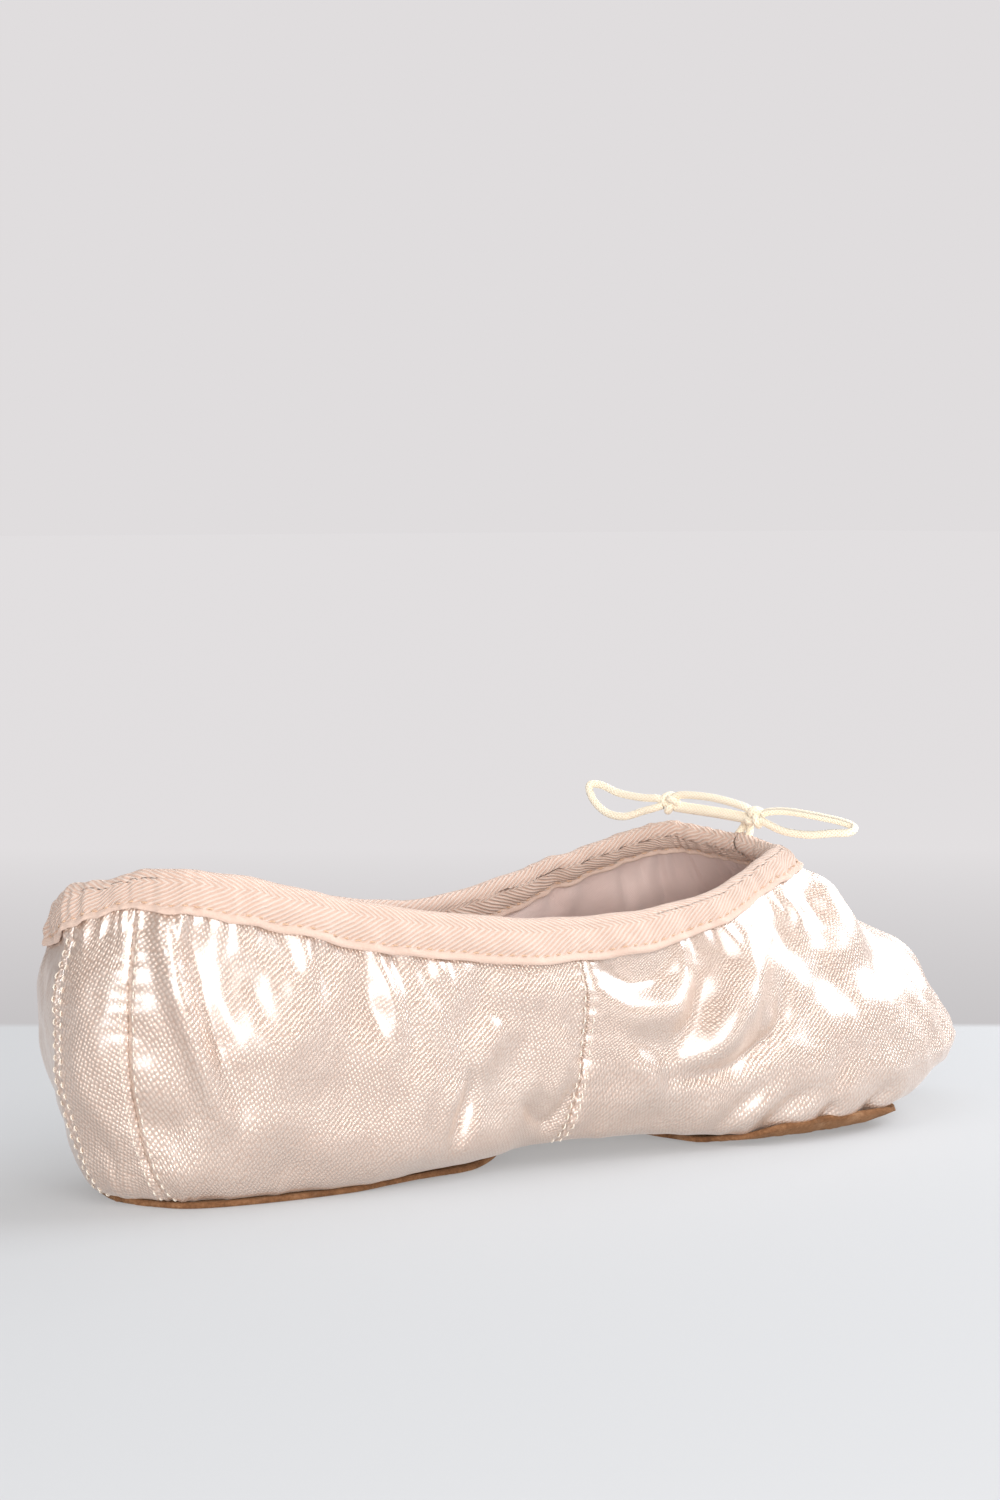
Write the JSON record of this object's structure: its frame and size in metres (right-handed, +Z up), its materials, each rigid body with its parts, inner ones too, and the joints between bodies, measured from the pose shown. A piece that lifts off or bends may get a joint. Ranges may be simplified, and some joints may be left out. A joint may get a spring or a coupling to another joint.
{
  "type": "ballet slipper",
  "caption": "Soft satin ballet slipper with a split suede sole, a folded tape binding and an elastic drawstring tied in a bow.",
  "frame": {"origin": "on the floor under the middle of the shoe's length and width, the bow's cord left out", "axes": "+X towards the toe, +Y towards the wearer's left, +Z up"},
  "size_m": [0.2361, 0.0738, 0.0721],
  "materials": {
    "satin": "glossy pale pink satin, fine diagonal grain",
    "tape": "matt peach herringbone cotton tape",
    "lining": "matt pale grey cotton drill",
    "suede": "brown napped suede",
    "board": "stiffened canvas",
    "elastic": "cream braided elastic cord"
  },
  "bodies": {
    "forefoot": {"vamp": "satin", "vamp_lining": "lining", "binding_left": "tape", "binding_right": "tape", "drawstring_left": "elastic", "drawstring_right": "elastic", "forefoot_board": "board", "forefoot_sock": "lining", "forefoot_pad": "suede", "arch_satin": "satin", "arch_lining": "lining", "arch_sock": "lining", "arch_binding_left": "tape", "arch_binding_right": "tape", "arch_drawstring_left": "elastic", "arch_drawstring_right": "elastic"},
    "heel": {"back_strip": "satin", "quarter_left": "satin", "quarter_right": "satin", "heel_lining": "lining", "heel_binding": "tape", "heel_drawstring": "elastic", "heel_board": "board", "heel_sock": "lining", "heel_pad": "suede"},
    "bow": {"bow_knot_left": "elastic", "bow_knot_right": "elastic", "bow_loop_left": "elastic", "bow_loop_right": "elastic", "bow_strand_top": "elastic", "bow_strand_low": "elastic"}
  },
  "joints": [
    {"name": "arch_flex", "type": "hinge", "parent": "forefoot", "child": "heel", "pos_m": [0, 0, 0.024], "axis": [0, 1, 0], "range_deg": [-20, 40], "stiffness_Nm_per_rad": 0.05, "deforming": ["arch_satin", "arch_lining", "arch_sock", "arch_binding_left", "arch_binding_right", "arch_drawstring_left", "arch_drawstring_right"]},
    {"name": "bow_tip", "type": "hinge", "parent": "forefoot", "child": "bow", "pos_m": [0.0594, 0, 0.062], "axis": [0, 1, 0], "range_deg": [-10, 30]}
  ]
}
